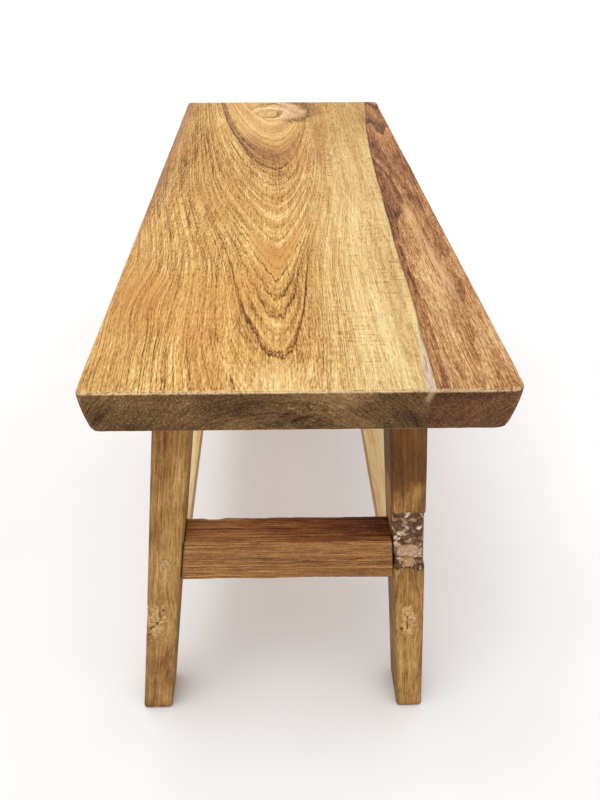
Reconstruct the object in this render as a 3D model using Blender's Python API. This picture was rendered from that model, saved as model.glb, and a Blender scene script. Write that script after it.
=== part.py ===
"""A backless bench: a slab seat on four splayed legs, tied by end stretchers and side rails.

+Z is up, +Y runs along the bench and the middle of its footprint is the origin. The near end is at -Y.
"""

import math

import bmesh
import bpy

# Driving sizes, in metres
SEAT_LENGTH = 0.960
SEAT_WIDTH = 0.350
SEAT_HEIGHT = 0.450
SEAT_THICKNESS = 0.039
SEAT_UNDERCUT = 0.0080
UNDERCUT_STARTS = 0.0055
SEAT_TOP_EASE = 0.0035
SEAT_BOTTOM_EASE = 0.0025
NEAR_LEFT_CORNER = 0.008
NEAR_RIGHT_CORNER = 0.013
FAR_CORNER = 0.009
GAP = 0.0003

# Each leg of the near end: its axis under the seat and at the floor, its width at both, its depth along the
# bench, and how far its outward face lies in from the seat's end. The far end repeats them.
LEFT_LEG = {"top_x": -0.1052, "foot_x": -0.1565, "top_width": 0.0335, "foot_width": 0.0325,
            "depth": 0.046, "setback": 0.023}
RIGHT_LEG = {"top_x": 0.0895, "foot_x": 0.1300, "top_width": 0.0325, "foot_width": 0.0290,
             "depth": 0.052, "setback": 0.021}
LEG_EDGE = 0.0035
FOOT_EASE = 0.0025

# Blind tenon on top of each leg, kerfed across for a fox wedge
LEG_TENON = (0.020, 0.030)
LEG_TENON_HEIGHT = 0.025
KERF_DEPTH = 0.016
KERF_TOP = 0.0034
KERF_BOTTOM = 0.0016

# End stretchers, between the two legs of an end
STRETCHER_TOP = 0.263
STRETCHER_HEIGHT = 0.050
STRETCHER_THICKNESS = 0.033
STRETCHER_SETBACK_LEFT = 0.0035
STRETCHER_SETBACK_RIGHT = 0.0020
STRETCHER_EDGE = 0.0025
STRETCHER_TENON = (0.014, 0.034)
STRETCHER_TENON_LENGTH = 0.021

# Side rails, from near leg to far leg
RAIL_TOP = 0.195
RAIL_HEIGHT = 0.021
RAIL_WIDTH = 0.031
RAIL_EDGE = 0.002
RAIL_TENON = (0.016, 0.011)
RAIL_TENON_LENGTH = 0.020
RAIL_SHIFT = 0.0025

# Pegs through the tenons
STRETCHER_PEG_RADIUS = 0.0055
STRETCHER_PEG_LENGTH = 0.036
RAIL_PEG_RADIUS = 0.004
RAIL_PEG_LENGTH = 0.025
PEG_PROUD = 0.0006
PEG_SIDES = 24

UNDERSIDE = SEAT_HEIGHT - SEAT_THICKNESS
CORNER_STEPS = 3
UNDERCUT_STEPS = 5
MORTISE_EXTRA = 0.001
CUT_PAST = 0.002


def clear_scene():
    for obj in list(bpy.data.objects):
        bpy.data.objects.remove(obj, do_unlink=True)


def wood(name, colour, roughness):
    material = bpy.data.materials.new(name)
    material.use_nodes = True
    shader = material.node_tree.nodes["Principled BSDF"]
    shader.inputs["Base Color"].default_value = (*colour, 1.0)
    shader.inputs["Roughness"].default_value = roughness
    shader.inputs["Metallic"].default_value = 0.0
    material.diffuse_color = (*colour, 1.0)
    return material


def rounded_outline(width, depth, radii):
    """An anticlockwise rectangle about the origin, each corner an arc, as (u, v) points.

    radii are those of the corners at (-u, -v), (+u, -v), (+u, +v) and (-u, +v).
    """
    signs = ((-1, -1), (1, -1), (1, 1), (-1, 1))
    points = []
    for index, ((su, sv), radius) in enumerate(zip(signs, radii)):
        start = math.pi * (1.0 + 0.5 * index)
        for step in range(CORNER_STEPS + 1):
            angle = start + 0.5 * math.pi * step / CORNER_STEPS
            points.append((
                su * (width / 2 - radius) + radius * math.cos(angle),
                sv * (depth / 2 - radius) + radius * math.sin(angle),
            ))
    return points


def lofted(name, rings, location=(0.0, 0.0, 0.0), material=None):
    """One closed object through rings of equal length, each a list of local (x, y, z) points."""
    mesh = bpy.data.meshes.new(name)
    shape = bmesh.new()
    loops = [[shape.verts.new(point) for point in ring] for ring in rings]
    for low, high in zip(loops, loops[1:]):
        for i in range(len(low)):
            j = (i + 1) % len(low)
            shape.faces.new((low[i], low[j], high[j], high[i]))
    shape.faces.new(loops[0][::-1])
    shape.faces.new(loops[-1])
    bmesh.ops.recalc_face_normals(shape, faces=shape.faces)
    shape.to_mesh(mesh)
    shape.free()
    mesh.shade_smooth()
    mesh.set_sharp_from_angle(angle=math.radians(35))
    obj = bpy.data.objects.new(name, mesh)
    obj.location = location
    bpy.context.scene.collection.objects.link(obj)
    if material:
        obj.data.materials.append(material)
    return obj


def cut(target, cutter):
    """Takes the cutter, placed in world space, out of the target."""
    cutter.hide_render = True
    cutter.display_type = "WIRE"
    boolean = target.modifiers.new(cutter.name, "BOOLEAN")
    boolean.operation = "DIFFERENCE"
    boolean.solver = "EXACT"
    boolean.object = cutter


def peg_shape(name, radius, length, location, rotation, material=None):
    """A round rod whose local +Z is its head, from z = -length to z = 0."""
    mesh = bpy.data.meshes.new(name)
    shape = bmesh.new()
    bmesh.ops.create_cone(
        shape, cap_ends=True, segments=PEG_SIDES, radius1=radius, radius2=radius, depth=length
    )
    bmesh.ops.translate(shape, verts=shape.verts, vec=(0.0, 0.0, -length / 2))
    shape.to_mesh(mesh)
    shape.free()
    mesh.shade_smooth()
    mesh.set_sharp_from_angle(angle=math.radians(35))
    obj = bpy.data.objects.new(name, mesh)
    obj.location = location
    obj.rotation_euler = rotation
    bpy.context.scene.collection.objects.link(obj)
    if material:
        obj.data.materials.append(material)
    return obj


class Leg:
    """Where one leg stands. end is -1 at the near end of the bench and +1 at the far end."""

    def __init__(self, sizes, end, side, name):
        self.sizes = sizes
        self.end = end
        self.side = side
        self.name = name
        self.depth = sizes["depth"]
        self.face_y = end * (SEAT_LENGTH / 2 - sizes["setback"])
        self.y = self.face_y - end * self.depth / 2
        self.back_y = self.face_y - end * self.depth

    def x(self, z):
        """The axis at height z."""
        slope = (self.sizes["top_x"] - self.sizes["foot_x"]) / UNDERSIDE
        return self.sizes["foot_x"] + slope * z

    def width(self, z):
        share = min(z / UNDERSIDE, 1.0)
        return self.sizes["foot_width"] + share * (self.sizes["top_width"] - self.sizes["foot_width"])

    def inner_x(self, z):
        return self.x(z) - self.side * self.width(z) / 2

    def outer_x(self, z):
        return self.x(z) + self.side * self.width(z) / 2

    def ring(self, z, width, depth, radius):
        """A level section around the axis, local to the foot's centre."""
        outline = rounded_outline(width, depth, [radius] * 4)
        return [(self.x(z) - self.x(0.0) + u, v, z) for u, v in outline]

    @property
    def foot(self):
        return (self.x(0.0), self.y, 0.0)


def leg_rings(leg):
    """From the eased foot to the shoulder under the seat, then the tenon."""
    shoulder = UNDERSIDE - GAP
    tenon_top = UNDERSIDE + LEG_TENON_HEIGHT
    sections = [
        (0.0, leg.width(0.0) - 2 * FOOT_EASE, leg.depth - 2 * FOOT_EASE, LEG_EDGE),
        (FOOT_EASE, leg.width(FOOT_EASE), leg.depth, LEG_EDGE),
        (shoulder, leg.width(shoulder), leg.depth, LEG_EDGE),
        (shoulder, *LEG_TENON, 0.001),
        (tenon_top, *LEG_TENON, 0.001),
    ]
    return [leg.ring(*section) for section in sections]


def build_leg(leg, material):
    return lofted(leg.name, leg_rings(leg), leg.foot, material)


def undercut(z):
    """How far the slab's sides have curved in at height z."""
    full = SEAT_HEIGHT - UNDERCUT_STARTS
    share = max(full - z, 0.0) / (full - UNDERSIDE)
    return SEAT_UNDERCUT * share ** 1.5


def seat_levels():
    """(height, side inset, end inset) from the underside up."""
    levels = [(UNDERSIDE, SEAT_UNDERCUT + SEAT_BOTTOM_EASE, SEAT_BOTTOM_EASE)]
    low = UNDERSIDE + 0.8 * SEAT_BOTTOM_EASE
    high = SEAT_HEIGHT - UNDERCUT_STARTS
    for step in range(UNDERCUT_STEPS + 1):
        z = low + (high - low) * step / UNDERCUT_STEPS
        levels.append((z, undercut(z), 0.0))
    for step in range(1, CORNER_STEPS + 1):
        angle = 0.5 * math.pi * step / CORNER_STEPS
        inset = SEAT_TOP_EASE * (1.0 - math.cos(angle))
        z = SEAT_HEIGHT - SEAT_TOP_EASE * (1.0 - math.sin(angle))
        levels.append((z, 0.6 * inset, inset))
    return levels


def build_seat(material):
    """The slab: its sides curve in towards the underside, and its arrises are eased."""
    radii = [NEAR_LEFT_CORNER, NEAR_RIGHT_CORNER, FAR_CORNER, FAR_CORNER]
    rings = []
    for z, side_inset, end_inset in seat_levels():
        outline = rounded_outline(
            SEAT_WIDTH - 2 * side_inset, SEAT_LENGTH - 2 * end_inset,
            [radius - 0.4 * end_inset for radius in radii],
        )
        rings.append([(u, v, z - SEAT_HEIGHT) for u, v in outline])
    return lofted("seat_slab", rings, (0.0, 0.0, SEAT_HEIGHT), material)


def cut_seat_mortise(seat, leg):
    width, depth = (side + 2 * GAP for side in LEG_TENON)
    top = UNDERSIDE + LEG_TENON_HEIGHT + MORTISE_EXTRA
    rings = [leg.ring(z, width, depth, 0.001) for z in (UNDERSIDE - CUT_PAST, top)]
    cut(seat, lofted("cut_seat_" + leg.name, rings, leg.foot))


def kerf_rings(leg, clearance, low, high, reach):
    """A slot across the tenon, wider at its mouth: its sides slope in Y and it follows the leg's lean."""
    rings = []
    for z in (low, high):
        share = (z - (UNDERSIDE + LEG_TENON_HEIGHT - KERF_DEPTH)) / KERF_DEPTH
        half = (KERF_BOTTOM + share * (KERF_TOP - KERF_BOTTOM)) / 2 - clearance
        middle = leg.x(z) - leg.x(0.0)
        rings.append([
            (middle - reach, -half, z), (middle + reach, -half, z),
            (middle + reach, half, z), (middle - reach, half, z),
        ])
    return rings


def build_wedge(leg_object, leg, material):
    """Kerfs the tenon and fills the kerf with its fox wedge."""
    mouth = UNDERSIDE + LEG_TENON_HEIGHT
    root = mouth - KERF_DEPTH
    slot = kerf_rings(leg, 0.0, root, mouth + CUT_PAST, LEG_TENON[0])
    cut(leg_object, lofted("cut_kerf_" + leg.name, slot, leg.foot))
    reach = LEG_TENON[0] / 2 - 0.0005
    body = kerf_rings(leg, GAP, root + 2 * GAP, mouth, reach)
    return lofted(leg.name.replace("leg", "tenon_wedge"), body, leg.foot, material)


def stretcher_section(inset_depth, inset_height):
    """Points (y, z) about the stretcher's middle."""
    radius = max(STRETCHER_EDGE - 0.5 * inset_depth, 0.001)
    return rounded_outline(
        STRETCHER_THICKNESS - 2 * inset_depth, STRETCHER_HEIGHT - 2 * inset_height, [radius] * 4
    )


def stretcher_middle_y(leg, setback):
    return leg.face_y - leg.end * (setback + STRETCHER_THICKNESS / 2)


def tenon_ring(leg, middle, y, grow, into):
    """A ring of the stretcher's tenon, into metres past the leg's leaning inner face."""
    width, height = (side + 2 * grow for side in STRETCHER_TENON)
    outline = rounded_outline(width, height, [0.001] * 4)
    ring = []
    for v, w in outline:
        z = middle[2] + w
        ring.append((leg.inner_x(z) + leg.side * into - middle[0], y + v - middle[1], w))
    return ring


def build_stretcher(name, left, right, material):
    """A flat board whose shoulders follow the leaning legs, with a blind tenon at each end."""
    y_left = stretcher_middle_y(left, STRETCHER_SETBACK_LEFT)
    y_right = stretcher_middle_y(right, STRETCHER_SETBACK_RIGHT)
    z_middle = STRETCHER_TOP - STRETCHER_HEIGHT / 2
    middle = (0.0, (y_left + y_right) / 2, z_middle)

    def shoulder(leg, y):
        ring = []
        for v, w in stretcher_section(0.0, 0.0):
            x = leg.inner_x(z_middle + w) - leg.side * GAP
            ring.append((x - middle[0], y + v - middle[1], w))
        return ring

    board = lofted(name, [
        tenon_ring(left, middle, y_left, 0.0, STRETCHER_TENON_LENGTH),
        tenon_ring(left, middle, y_left, 0.0, -GAP),
        shoulder(left, y_left),
        shoulder(right, y_right),
        tenon_ring(right, middle, y_right, 0.0, -GAP),
        tenon_ring(right, middle, y_right, 0.0, STRETCHER_TENON_LENGTH),
    ], middle, material)
    return board, middle, {left.name: y_left, right.name: y_right}


def cut_stretcher_mortise(leg_object, leg, middle, y):
    depths = (-CUT_PAST, STRETCHER_TENON_LENGTH + MORTISE_EXTRA)
    rings = [tenon_ring(leg, middle, y, GAP, depth) for depth in depths]
    cut(leg_object, lofted("cut_stretcher_" + leg.name, rings, middle))


def peg_stretcher(objects, leg, middle, y_tenon, material):
    """Drives a peg along the bench, from the leg's end face through the tenon, and cuts its hole."""
    x = leg.x(middle[2])
    turn = (math.pi / 2 if leg.end < 0 else -math.pi / 2, 0.0, 0.0)
    hole_face = leg.face_y + leg.end * CUT_PAST
    hole_length = STRETCHER_PEG_LENGTH + CUT_PAST + MORTISE_EXTRA
    for target in objects:
        hole = peg_shape(
            "cut_peg_" + target.name + leg.name, STRETCHER_PEG_RADIUS + GAP, hole_length,
            (x, hole_face, middle[2]), turn,
        )
        cut(target, hole)
    head = leg.face_y + leg.end * PEG_PROUD
    name = leg.name.replace("leg", "stretcher_peg")
    return peg_shape(
        name, STRETCHER_PEG_RADIUS, STRETCHER_PEG_LENGTH + PEG_PROUD, (x, head, middle[2]), turn, material
    )


def rail_ring(width, height, radius, y):
    return [(u, y, w) for u, w in rounded_outline(width, height, [radius] * 4)]


def rail_centre_x(leg):
    """The rail sits a little inside the legs' own line."""
    return leg.x(RAIL_TOP - RAIL_HEIGHT / 2) - leg.side * RAIL_SHIFT


def build_rail(name, near, far, material):
    """A flat bar between the back faces of two legs, with a blind tenon at each end."""
    middle = (rail_centre_x(near), (near.back_y + far.back_y) / 2, RAIL_TOP - RAIL_HEIGHT / 2)
    low = near.back_y + GAP - middle[1]
    high = far.back_y - GAP - middle[1]
    rings = [
        rail_ring(*RAIL_TENON, 0.001, low - RAIL_TENON_LENGTH),
        rail_ring(*RAIL_TENON, 0.001, low),
        rail_ring(RAIL_WIDTH, RAIL_HEIGHT, RAIL_EDGE, low),
        rail_ring(RAIL_WIDTH, RAIL_HEIGHT, RAIL_EDGE, high),
        rail_ring(*RAIL_TENON, 0.001, high),
        rail_ring(*RAIL_TENON, 0.001, high + RAIL_TENON_LENGTH),
    ]
    return lofted(name, rings, middle, material), middle


def cut_rail_mortise(leg_object, leg, middle):
    width, height = (side + 2 * GAP for side in RAIL_TENON)
    mouth = leg.back_y - leg.end * CUT_PAST
    floor = leg.back_y + leg.end * (RAIL_TENON_LENGTH + MORTISE_EXTRA)
    rings = [rail_ring(width, height, 0.001, y - middle[1]) for y in sorted((mouth, floor))]
    cut(leg_object, lofted("cut_rail_" + leg.name, rings, middle))


def peg_rail(objects, leg, middle, material):
    """Drives a peg across the bench, from the leg's outer side through the rail's tenon."""
    y = leg.back_y + leg.end * RAIL_TENON_LENGTH / 2
    turn = (0.0, leg.side * math.pi / 2, 0.0)
    outer = leg.outer_x(middle[2])
    hole_length = RAIL_PEG_LENGTH + CUT_PAST + MORTISE_EXTRA
    for target in objects:
        hole = peg_shape(
            "cut_pin_" + target.name + leg.name, RAIL_PEG_RADIUS + GAP, hole_length,
            (outer + leg.side * CUT_PAST, y, middle[2]), turn,
        )
        cut(target, hole)
    name = leg.name.replace("leg", "rail_peg")
    head = outer + leg.side * PEG_PROUD
    return peg_shape(
        name, RAIL_PEG_RADIUS, RAIL_PEG_LENGTH + PEG_PROUD, (head, y, middle[2]), turn, material
    )


def main():
    clear_scene()
    seat_wood = wood("seat_wood", (0.58, 0.36, 0.15), 0.5)
    leg_wood = wood("leg_wood", (0.36, 0.21, 0.10), 0.6)
    stretcher_wood = wood("stretcher_wood", (0.15, 0.055, 0.03), 0.55)
    rail_wood = wood("rail_wood", (0.62, 0.42, 0.20), 0.55)
    peg_wood = wood("peg_wood", (0.33, 0.20, 0.09), 0.6)

    legs = {
        (end_name, side_name): Leg(sizes, end, side, f"{end_name}_{side_name}_leg")
        for end_name, end in (("near", -1), ("far", 1))
        for side_name, side, sizes in (("left", -1, LEFT_LEG), ("right", 1, RIGHT_LEG))
    }
    seat = build_seat(seat_wood)
    leg_objects = {}
    for leg in legs.values():
        leg_objects[leg.name] = build_leg(leg, leg_wood)
        cut_seat_mortise(seat, leg)
        build_wedge(leg_objects[leg.name], leg, peg_wood)

    for end_name in ("near", "far"):
        left, right = legs[end_name, "left"], legs[end_name, "right"]
        board, middle, tenon_ys = build_stretcher(f"{end_name}_end_stretcher", left, right, stretcher_wood)
        for leg in (left, right):
            cut_stretcher_mortise(leg_objects[leg.name], leg, middle, tenon_ys[leg.name])
            peg_stretcher((leg_objects[leg.name], board), leg, middle, tenon_ys[leg.name], peg_wood)

    for side_name in ("left", "right"):
        near, far = legs["near", side_name], legs["far", side_name]
        rail, middle = build_rail(f"{side_name}_side_rail", near, far, rail_wood)
        for leg in (near, far):
            cut_rail_mortise(leg_objects[leg.name], leg, middle)
            peg_rail((leg_objects[leg.name], rail), leg, middle, peg_wood)


main()
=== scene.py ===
"""A backless timber bench: fine wooden surfaces around the CAD frame, with its camera, floor and light."""

import math
from types import SimpleNamespace

import bpy
import numpy as np
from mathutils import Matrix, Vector, noise


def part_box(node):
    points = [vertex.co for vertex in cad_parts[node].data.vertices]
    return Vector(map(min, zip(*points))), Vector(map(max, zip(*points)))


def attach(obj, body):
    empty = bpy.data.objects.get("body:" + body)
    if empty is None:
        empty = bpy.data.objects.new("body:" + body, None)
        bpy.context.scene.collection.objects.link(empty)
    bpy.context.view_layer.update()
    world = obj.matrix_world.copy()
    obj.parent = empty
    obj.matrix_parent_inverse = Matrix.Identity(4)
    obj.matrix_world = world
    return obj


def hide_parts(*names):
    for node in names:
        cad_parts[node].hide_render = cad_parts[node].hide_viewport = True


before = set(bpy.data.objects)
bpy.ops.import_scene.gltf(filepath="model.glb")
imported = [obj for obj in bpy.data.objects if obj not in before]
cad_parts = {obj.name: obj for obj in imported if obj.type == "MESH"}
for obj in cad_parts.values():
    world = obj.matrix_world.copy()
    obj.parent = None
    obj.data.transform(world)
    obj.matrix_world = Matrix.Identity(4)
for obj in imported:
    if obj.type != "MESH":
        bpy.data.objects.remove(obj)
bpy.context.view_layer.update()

# ---------------------------------------------------------------------------------------------------------
# Sizes, in metres. Places come from the CAD nodes.

SEAT_LOW, SEAT_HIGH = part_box("seat_slab")
SEAT_TOP = SEAT_HIGH.z
UNDERSIDE = SEAT_LOW.z
SEAT_ARRIS = .0035          # rounding of the seat's long and short edges
SEAT_LOW_CUT = .0028        # height over the underside at which the slab's width is read
SEAT_LEAN_DEPTH = .0055     # depth from which the seat's long sides lean in
SHOULDER_GAP = .0003        # clearance between pieces
LEG_ARRIS = .0035
STRETCHER_ARRIS = .0030
RAIL_ARRIS = .0022
KNOT_ZONE = .045            # half height of the finely meshed part of a leg at a knot
BURL_ZONE = .010            # how far it reaches past a burl
NOTCH_PLACE = .026          # from the left leg to the notch in a stretcher's top
NOTCH_HALF = (.012, .006)

# Radius in plan of the seat's corner on each side in x and y.
SEAT_CORNERS = {(-1, -1): .008, (1, -1): .013, (-1, 1): .009, (1, 1): .009}

# Mesh steps: the fine one near both edges, the coarse one between them, and how far the fine ones reach.
SEAT_STEPS = (.0008, .0042, .012)
SEAT_DEPTH_STEPS = (.0007, .0020, .005)
LEG_DEPTH_STEPS = (.0008, .0030, .0055)
LEG_FINE, LEG_COARSE = .0009, .0034
STRETCHER_LENGTH_STEPS = (.004, .009, .02)      # in shares of its length
STRETCHER_STEPS = (.0007, .0022, .0045)
STRETCHER_HEIGHT_STEPS = (.0007, .0018, .0045)
RAIL_LENGTH_STEPS = (.002, .006, .02)
RAIL_STEPS = (.0006, .0028, .0035)
RAIL_HEIGHT_STEPS = (.0006, .0024, .0035)

# The seat's figure: a pith line under the surface, a knot at the far end, heartwood on the right.
PITH_X = -.016
KNOT_Y = SEAT_HIGH.y - .068
KNOT_HALF = (.045, .062)    # half width and half length of the knot's outer ring
BAND_PITH = (.21, .35)      # x and z of the centre that the heartwood strip's rings curve round
END_PITH = (-.022, .337)    # x and z of the centre of the rings on the end grain
BOLD_TIPS = (-.437, -.334, -.292)   # y of the tips of the darkest growth lines
CRACK_AT = (-.0527, .14)    # x and y of a point on the crack beside the knot
CRACK_SLOPE = -.16          # its x for each metre of y


# ---------------------------------------------------------------------------------------------------------
# Meshes


def section(node, axis, level):
    """Lowest and highest corner of the cut through a CAD node at this level along an axis."""
    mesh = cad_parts[node].data
    points = np.array([vertex.co for vertex in mesh.vertices])
    ends = points[np.array([edge.vertices for edge in mesh.edges])]
    beyond = ends[:, :, axis] - level
    crosses = beyond[:, 0] * beyond[:, 1] < 0
    ends, beyond = ends[crosses], beyond[crosses]
    share = beyond[:, 0] / (beyond[:, 0] - beyond[:, 1])
    cut = ends[:, 0] + (ends[:, 1] - ends[:, 0]) * share[:, None]
    return cut.min(axis=0), cut.max(axis=0)


def stations(start, end, step):
    """Positions from start to end, with gaps of about step(position)."""
    at = [start]
    while at[-1] < end:
        at.append(at[-1] + step(at[-1]))
    at = np.array(at)
    return start + (at - start) * (end - start) / (at[-1] - start)


def edge_graded(start, end, fine, coarse, margin):
    """Positions from start to end, closer together within a margin of both ends."""
    def step(place):
        return fine if min(place - start, end - place) < margin else coarse
    return stations(start, end, step)


def box_grid(xs, ys, zs):
    """The surface points of a box at the crossings of xs, ys and zs, and its faces, which look outwards."""
    count = (len(xs), len(ys), len(zs))
    index = {}
    faces = []
    for axis, (first, second) in enumerate(((1, 2), (2, 0), (0, 1))):
        for end in (0, count[axis] - 1):
            for i in range(count[first] - 1):
                for j in range(count[second] - 1):
                    corners = []
                    for di, dj in ((0, 0), (1, 0), (1, 1), (0, 1)):
                        key = [end] * 3
                        key[first] = i + di
                        key[second] = j + dj
                        corners.append(index.setdefault(tuple(key), len(index)))
                    faces.append(corners if end else corners[::-1])
    lattice = np.array(list(index))
    points = np.column_stack([np.asarray(line)[lattice[:, n]] for n, line in enumerate((xs, ys, zs))])
    return points, np.array(faces)


def ease(points, low, high, radius, axes):
    """Rounds a box's edges: past the inner box, square corners close up onto circles."""
    axes = list(axes)
    inner = np.clip(points[:, axes], np.asarray(low) + radius, np.asarray(high) - radius)
    over = points[:, axes] - inner
    reach = np.abs(over).max(axis=1)
    length = np.maximum(np.linalg.norm(over, axis=1), 1e-9)
    eased = points.copy()
    eased[:, axes] = inner + over * (reach / length)[:, None]
    return eased


def corner_share(points, low, high, radius, axes):
    """How near each point is to a rounded edge: 0 on the flats, 1 in the middle of the rounding."""
    axes = list(axes)
    inner = np.clip(points[:, axes], np.asarray(low) + radius, np.asarray(high) - radius)
    over = np.sort(np.abs(points[:, axes] - inner) / radius, axis=1)
    return np.clip(over[:, -2], 0, 1)


def normals(points, faces):
    """Unit normals at the points, from the faces around them."""
    a, b, c, d = (points[faces[:, n]] for n in range(4))
    across = np.cross(c - a, d - b)
    total = np.zeros_like(points)
    for n in range(4):
        np.add.at(total, faces[:, n], across)
    return total / np.maximum(np.linalg.norm(total, axis=1), 1e-12)[:, None]


def ripple(points, scale, seed, octaves=3):
    """Smooth noise from about -1 to 1 at each point, with so many waves per metre along X, Y and Z."""
    start = Vector((seed * 7.31, seed * 3.17, seed * 5.73))
    spots = points * np.asarray(scale)
    return np.array([noise.fractal(Vector(spot) + start, .8, 2.0, octaves) for spot in spots])


def smooth(values, low, high):
    """0 below low, 1 above high, and an S-curve between them. The limits may be the other way round."""
    share = np.clip((values - low) / (high - low), 0, 1)
    return share * share * (3 - 2 * share)


def make_piece(name, points, faces, marks, material, slot, *nodes):
    """A smooth mesh object that stands for CAD nodes. Its marks are values at the points for the material."""
    mesh = bpy.data.meshes.new(name)
    mesh.from_pydata(points.tolist(), [], faces.tolist())
    mesh.shade_smooth()
    for mark, values in marks.items():
        layer = mesh.attributes.new(mark, "FLOAT", "POINT")
        layer.data.foreach_set("value", np.asarray(values, np.float32))
    mesh.materials.append(material)
    piece = bpy.data.objects.new(name, mesh)
    bpy.context.scene.collection.objects.link(piece)
    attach(piece, "root")
    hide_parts(*nodes)
    return piece


# ---------------------------------------------------------------------------------------------------------
# Node-based materials


def srgb(red, green, blue):
    """A display colour, with channels from 0 to 255, as the linear colour that a shader takes."""
    def linear(channel):
        share = channel / 255
        return share / 12.92 if share <= .04045 else ((share + .055) / 1.055) ** 2.4
    return (linear(red), linear(green), linear(blue), 1)


class Signal:
    """A number that varies over a surface. Arithmetic on signals adds Math nodes."""

    def __init__(self, paint, socket):
        self.paint = paint
        self.socket = socket

    def __add__(self, other):
        return self.paint.math("ADD", self, other)

    def __sub__(self, other):
        return self.paint.math("SUBTRACT", self, other)

    def __rsub__(self, other):
        return self.paint.math("SUBTRACT", other, self)

    def __mul__(self, other):
        return self.paint.math("MULTIPLY", self, other)

    def __truediv__(self, other):
        return self.paint.math("DIVIDE", self, other)

    def __pow__(self, other):
        return self.paint.math("POWER", self, other)

    def __abs__(self):
        return self.paint.math("ABSOLUTE", self)

    __radd__ = __add__
    __rmul__ = __mul__


class Paint:
    """A material whose node tree is written as arithmetic."""

    def __init__(self, name):
        self.material = bpy.data.materials.new(name)
        self.material.use_nodes = True
        self.tree = self.material.node_tree
        self.shader = self.tree.nodes["Principled BSDF"]

    def node(self, kind, **settings):
        made = self.tree.nodes.new("ShaderNode" + kind)
        for name, value in settings.items():
            setattr(made, name, value)
        return made

    def feed(self, socket, value):
        if isinstance(value, Signal):
            self.tree.links.new(value.socket, socket)
        else:
            socket.default_value = value

    def math(self, operation, *values):
        made = self.node("Math", operation=operation)
        for socket, value in zip(made.inputs, values):
            self.feed(socket, value)
        return Signal(self, made.outputs[0])

    def place(self):
        """The X, Y and Z of the surface in the object's frame."""
        where = self.node("TexCoord")
        split = self.node("SeparateXYZ")
        self.tree.links.new(where.outputs["Object"], split.inputs[0])
        return [Signal(self, output) for output in split.outputs]

    def facing(self):
        """The X, Y and Z of the surface's normal."""
        shape = self.node("NewGeometry")
        split = self.node("SeparateXYZ")
        self.tree.links.new(shape.outputs["Normal"], split.inputs[0])
        return [Signal(self, output) for output in split.outputs]

    def mark(self, name):
        """A value that the mesh holds at its points."""
        return Signal(self, self.node("Attribute", attribute_name=name).outputs["Fac"])

    def vector(self, x, y, z):
        made = self.node("CombineXYZ")
        for socket, value in zip(made.inputs, (x, y, z)):
            self.feed(socket, value)
        return Signal(self, made.outputs[0])

    def noise(self, x, y=0.0, z=0.0, detail=2.0, rough=.5):
        """Noise around .5 at a place that is already counted in waves."""
        made = self.node("TexNoise")
        self.feed(made.inputs["Vector"], self.vector(x, y, z))
        made.inputs["Scale"].default_value = 1
        made.inputs["Detail"].default_value = detail
        made.inputs["Roughness"].default_value = rough
        return Signal(self, made.outputs[0])

    def chance(self, number):
        """A random value from 0 to 1 for each whole number."""
        made = self.node("TexWhiteNoise", noise_dimensions="1D")
        self.feed(made.inputs["W"], number)
        return Signal(self, made.outputs[0])

    def smooth(self, value, low, high):
        """0 at low, 1 at high, and an S-curve between them."""
        made = self.node("MapRange", interpolation_type="SMOOTHSTEP")
        self.feed(made.inputs["Value"], value)
        self.feed(made.inputs["From Min"], low)
        self.feed(made.inputs["From Max"], high)
        return Signal(self, made.outputs[0])

    def hump(self, value, centre, width):
        """1 where the value is at the centre, falling smoothly to 0 at this width on both sides."""
        return self.smooth(abs(value - centre), width, 0)

    def ramp(self, value, *stops):
        """A colour for each value, from stops of (position, red, green, blue)."""
        made = self.node("ValToRGB")
        self.feed(made.inputs[0], value)
        elements = made.color_ramp.elements
        while len(elements) < len(stops):
            elements.new(.5)
        for element, (position, *colour) in zip(elements, stops):
            element.position = position
            element.color = srgb(*colour)
        return Signal(self, made.outputs[0])

    def blend(self, share, first, second, way="MIX"):
        """Mixes two colours, each a signal or a tuple from srgb."""
        made = self.node("Mix", data_type="RGBA", blend_type=way)
        self.feed(made.inputs[0], share)
        self.feed(made.inputs[6], first)
        self.feed(made.inputs[7], second)
        return Signal(self, made.outputs[2])

    def pick(self, share, first, second):
        """Mixes two numbers."""
        made = self.node("Mix", data_type="FLOAT")
        self.feed(made.inputs[0], share)
        self.feed(made.inputs[2], first)
        self.feed(made.inputs[3], second)
        return Signal(self, made.outputs[0])

    def finish(self, colour, roughness, height, relief):
        """Sets the shader. The relief is the bump's size in metres where the height goes from 0 to 1."""
        self.feed(self.shader.inputs["Base Color"], colour)
        self.feed(self.shader.inputs["Roughness"], roughness)
        self.shader.inputs["Specular IOR Level"].default_value = .2
        bump = self.node("Bump")
        bump.inputs["Strength"].default_value = 1
        bump.inputs["Distance"].default_value = relief
        self.feed(bump.inputs["Height"], height)
        self.tree.links.new(bump.outputs[0], self.shader.inputs["Normal"])
        return self.material


def ring_lines(paint, count, fade, rarity=1.0):
    """Dark lines at the whole numbers of count, fading on the upper side. More rarity leaves fewer strong."""
    number = paint.math("FLOOR", count)
    share = paint.math("FRACT", count)
    return (1 - share) ** fade * paint.chance(number) ** rarity


def distance(first, second):
    """How far a place is from a centre, from its two offsets."""
    return (first ** 2 + second ** 2) ** .5


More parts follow.
